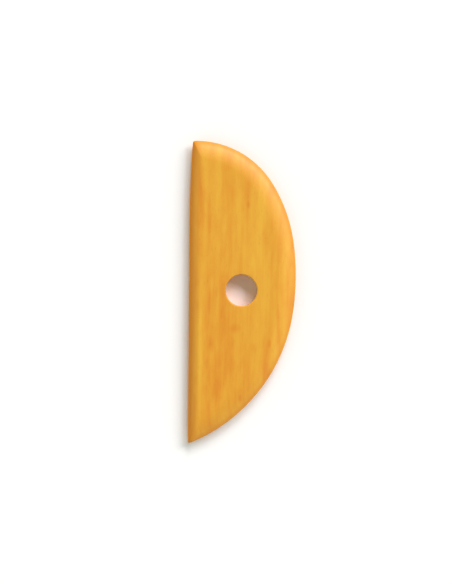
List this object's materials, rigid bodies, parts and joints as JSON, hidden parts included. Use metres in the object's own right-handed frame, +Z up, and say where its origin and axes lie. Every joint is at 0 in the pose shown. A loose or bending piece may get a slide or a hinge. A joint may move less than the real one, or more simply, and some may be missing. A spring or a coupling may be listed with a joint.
{
  "type": "pottery rib",
  "caption": "Half-moon wooden hand tool for shaping and smoothing wet clay, with a straight edge, a curved edge, bevels on both faces and a round hole.",
  "frame": {"origin": "on the surface that the rib lies on, under the middle of its outline", "axes": "+Z up, through the thickness and along the hole; +Y along the length, from the sharp point to the blunt end; +X across, from the straight edge to the curved edge"},
  "size_m": [0.0494, 0.1402, 0.0064],
  "materials": {
    "oiled_hardwood": "sanded and oiled, satin, fine straight grain along the length"
  },
  "bodies": {
    "root": {"wooden_rib": "oiled_hardwood"}
  },
  "joints": []
}
